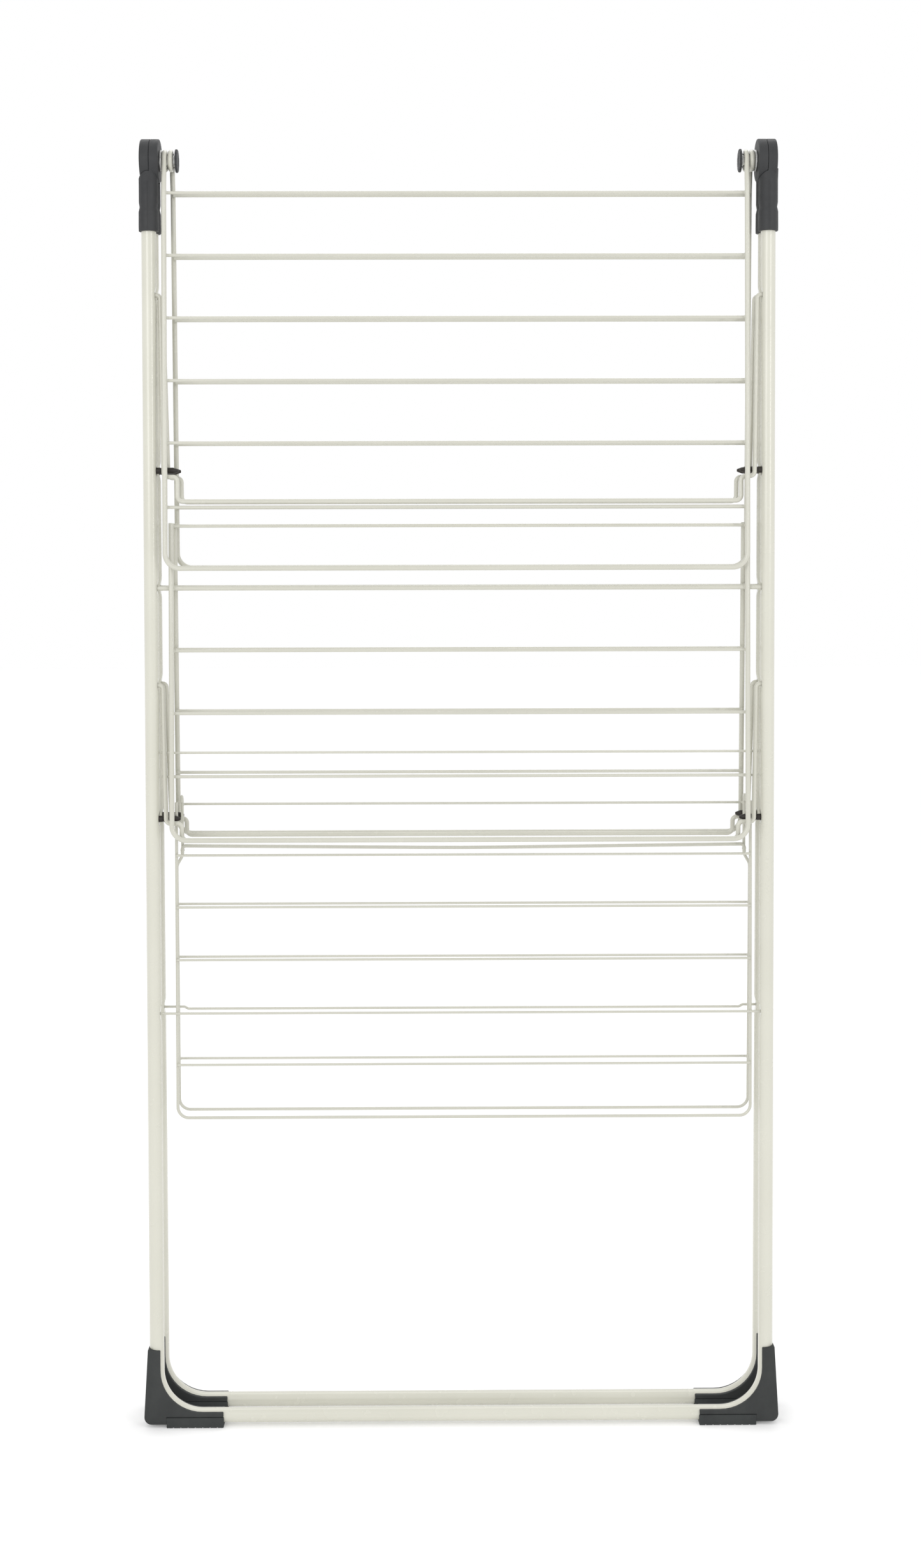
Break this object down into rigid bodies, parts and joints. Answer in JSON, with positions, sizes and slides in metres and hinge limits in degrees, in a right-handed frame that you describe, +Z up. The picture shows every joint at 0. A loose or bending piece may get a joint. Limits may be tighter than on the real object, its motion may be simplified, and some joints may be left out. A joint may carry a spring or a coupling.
{
  "type": "folding clothes drying rack",
  "caption": "Folding clothes airer, folded flat: tube leg frames hinged at the top, swing-up wire wings, wire shelves, bent-rod stays and moulded feet.",
  "frame": {"origin": "on the floor under the middle of the folded rack", "axes": "+Z up, +X along the hinge axles, -Y towards the front wing"},
  "size_m": [0.6956, 0.0648, 1.4028],
  "materials": {
    "tube_steel": "glossy ivory powder coat on round steel tube",
    "wire_steel": "glossy ivory powder coat on drawn steel wire",
    "stay_steel": "glossy ivory powder coat on bent steel rod",
    "light_wire_steel": "glossy ivory powder coat on thin steel wire",
    "hinge_plastic": "fine-grained dark grey moulding",
    "foot_plastic": "fine-grained dark grey moulding",
    "peg_plastic": "near-black moulded plug",
    "axle_steel": "zinc-plated turned steel"
  },
  "bodies": {
    "front_legs": {"front_leg_frame": "tube_steel", "front_hinge_left": "hinge_plastic", "front_hinge_right": "hinge_plastic", "front_foot_left": "foot_plastic", "front_foot_right": "foot_plastic", "front_upper_peg_left": "peg_plastic", "front_upper_peg_right": "peg_plastic", "front_lower_peg_left": "peg_plastic", "front_lower_peg_right": "peg_plastic", "axle_left": "axle_steel", "axle_right": "axle_steel", "axle_cap_left": "hinge_plastic", "axle_cap_right": "hinge_plastic"},
    "front_wing": {"front_wing_frame": "wire_steel", "front_wing_wire_1": "wire_steel", "front_wing_wire_2": "wire_steel", "front_wing_wire_3": "wire_steel", "front_wing_wire_4": "wire_steel", "front_wing_wire_5": "wire_steel", "front_wing_wire_6": "wire_steel"},
    "front_upper_stay": {"front_upper_stay": "stay_steel"},
    "front_mid_panel": {"front_mid_frame": "wire_steel", "front_mid_wire_1": "wire_steel", "front_mid_wire_2": "wire_steel", "front_mid_wire_3": "wire_steel", "front_mid_wire_4": "wire_steel"},
    "front_lower_stay": {"front_lower_stay": "stay_steel"},
    "front_low_panel": {"front_low_frame": "light_wire_steel", "front_low_wire_1": "light_wire_steel", "front_low_wire_2": "light_wire_steel", "front_low_wire_3": "light_wire_steel", "front_low_wire_4": "light_wire_steel"},
    "rear_legs": {"rear_leg_frame": "tube_steel", "rear_hinge_left": "hinge_plastic", "rear_hinge_right": "hinge_plastic", "rear_foot_left": "foot_plastic", "rear_foot_right": "foot_plastic", "rear_upper_peg_left": "peg_plastic", "rear_upper_peg_right": "peg_plastic", "rear_lower_peg_left": "peg_plastic", "rear_lower_peg_right": "peg_plastic"},
    "rear_wing": {"rear_wing_frame": "wire_steel", "rear_wing_wire_1": "wire_steel", "rear_wing_wire_2": "wire_steel", "rear_wing_wire_3": "wire_steel", "rear_wing_wire_4": "wire_steel", "rear_wing_wire_5": "wire_steel", "rear_wing_wire_6": "wire_steel"},
    "rear_upper_stay": {"rear_upper_stay": "stay_steel"},
    "rear_mid_panel": {"rear_mid_frame": "wire_steel", "rear_mid_wire_1": "wire_steel", "rear_mid_wire_2": "wire_steel", "rear_mid_wire_3": "wire_steel", "rear_mid_wire_4": "wire_steel"},
    "rear_lower_stay": {"rear_lower_stay": "stay_steel"},
    "rear_low_panel": {"rear_low_frame": "light_wire_steel", "rear_low_wire_1": "light_wire_steel", "rear_low_wire_2": "light_wire_steel", "rear_low_wire_3": "light_wire_steel", "rear_low_wire_4": "light_wire_steel"}
  },
  "joints": [
    {"name": "legs_fold", "type": "hinge", "parent": "front_legs", "child": "rear_legs", "pos_m": [0, 0, 1.3796], "axis": [1, 0, 0], "range_deg": [0, 23]},
    {"name": "front_wing_lift", "type": "hinge", "parent": "front_legs", "child": "front_wing", "pos_m": [0, 0, 1.3796], "axis": [-1, 0, 0], "range_deg": [0, 80]},
    {"name": "front_upper_stay_swing", "type": "hinge", "parent": "front_legs", "child": "front_upper_stay", "pos_m": [0, -0.01034, 1.23449], "axis": [-1, 0, 0], "range_deg": [0, 120]},
    {"name": "front_mid_panel_swing", "type": "hinge", "parent": "front_legs", "child": "front_mid_panel", "pos_m": [0, -0.01327, 0.9186], "axis": [-1, 0, 0], "range_deg": [0, 79]},
    {"name": "front_lower_stay_swing", "type": "hinge", "parent": "front_legs", "child": "front_lower_stay", "pos_m": [0, -0.01424, 0.81331], "axis": [-1, 0, 0], "range_deg": [0, 117]},
    {"name": "front_low_panel_swing", "type": "hinge", "parent": "front_legs", "child": "front_low_panel", "pos_m": [0, -0.01756, 0.45452], "axis": [-1, 0, 0], "range_deg": [0, 58]},
    {"name": "rear_wing_lift", "type": "hinge", "parent": "rear_legs", "child": "rear_wing", "pos_m": [0, 0, 1.3796], "axis": [1, 0, 0], "range_deg": [0, 80]},
    {"name": "rear_upper_stay_swing", "type": "hinge", "parent": "rear_legs", "child": "rear_upper_stay", "pos_m": [0, 0.01034, 1.23449], "axis": [1, 0, 0], "range_deg": [0, 120]},
    {"name": "rear_mid_panel_swing", "type": "hinge", "parent": "rear_legs", "child": "rear_mid_panel", "pos_m": [0, 0.01327, 0.9186], "axis": [1, 0, 0], "range_deg": [0, 79]},
    {"name": "rear_lower_stay_swing", "type": "hinge", "parent": "rear_legs", "child": "rear_lower_stay", "pos_m": [0, 0.01424, 0.81331], "axis": [1, 0, 0], "range_deg": [0, 117]},
    {"name": "rear_low_panel_swing", "type": "hinge", "parent": "rear_legs", "child": "rear_low_panel", "pos_m": [0, 0.01756, 0.45452], "axis": [1, 0, 0], "range_deg": [0, 58]}
  ],
  "couplings": [
    {"joint": "front_upper_stay_swing", "follows": "front_wing_lift", "ratio": 1.48},
    {"joint": "front_mid_panel_swing", "follows": "legs_fold", "ratio": 3.4},
    {"joint": "front_lower_stay_swing", "follows": "legs_fold", "ratio": 5.02},
    {"joint": "front_low_panel_swing", "follows": "legs_fold", "ratio": 2.5},
    {"joint": "rear_upper_stay_swing", "follows": "rear_wing_lift", "ratio": 1.48},
    {"joint": "rear_mid_panel_swing", "follows": "legs_fold", "ratio": 3.4},
    {"joint": "rear_lower_stay_swing", "follows": "legs_fold", "ratio": 5.02},
    {"joint": "rear_low_panel_swing", "follows": "legs_fold", "ratio": 2.5}
  ]
}
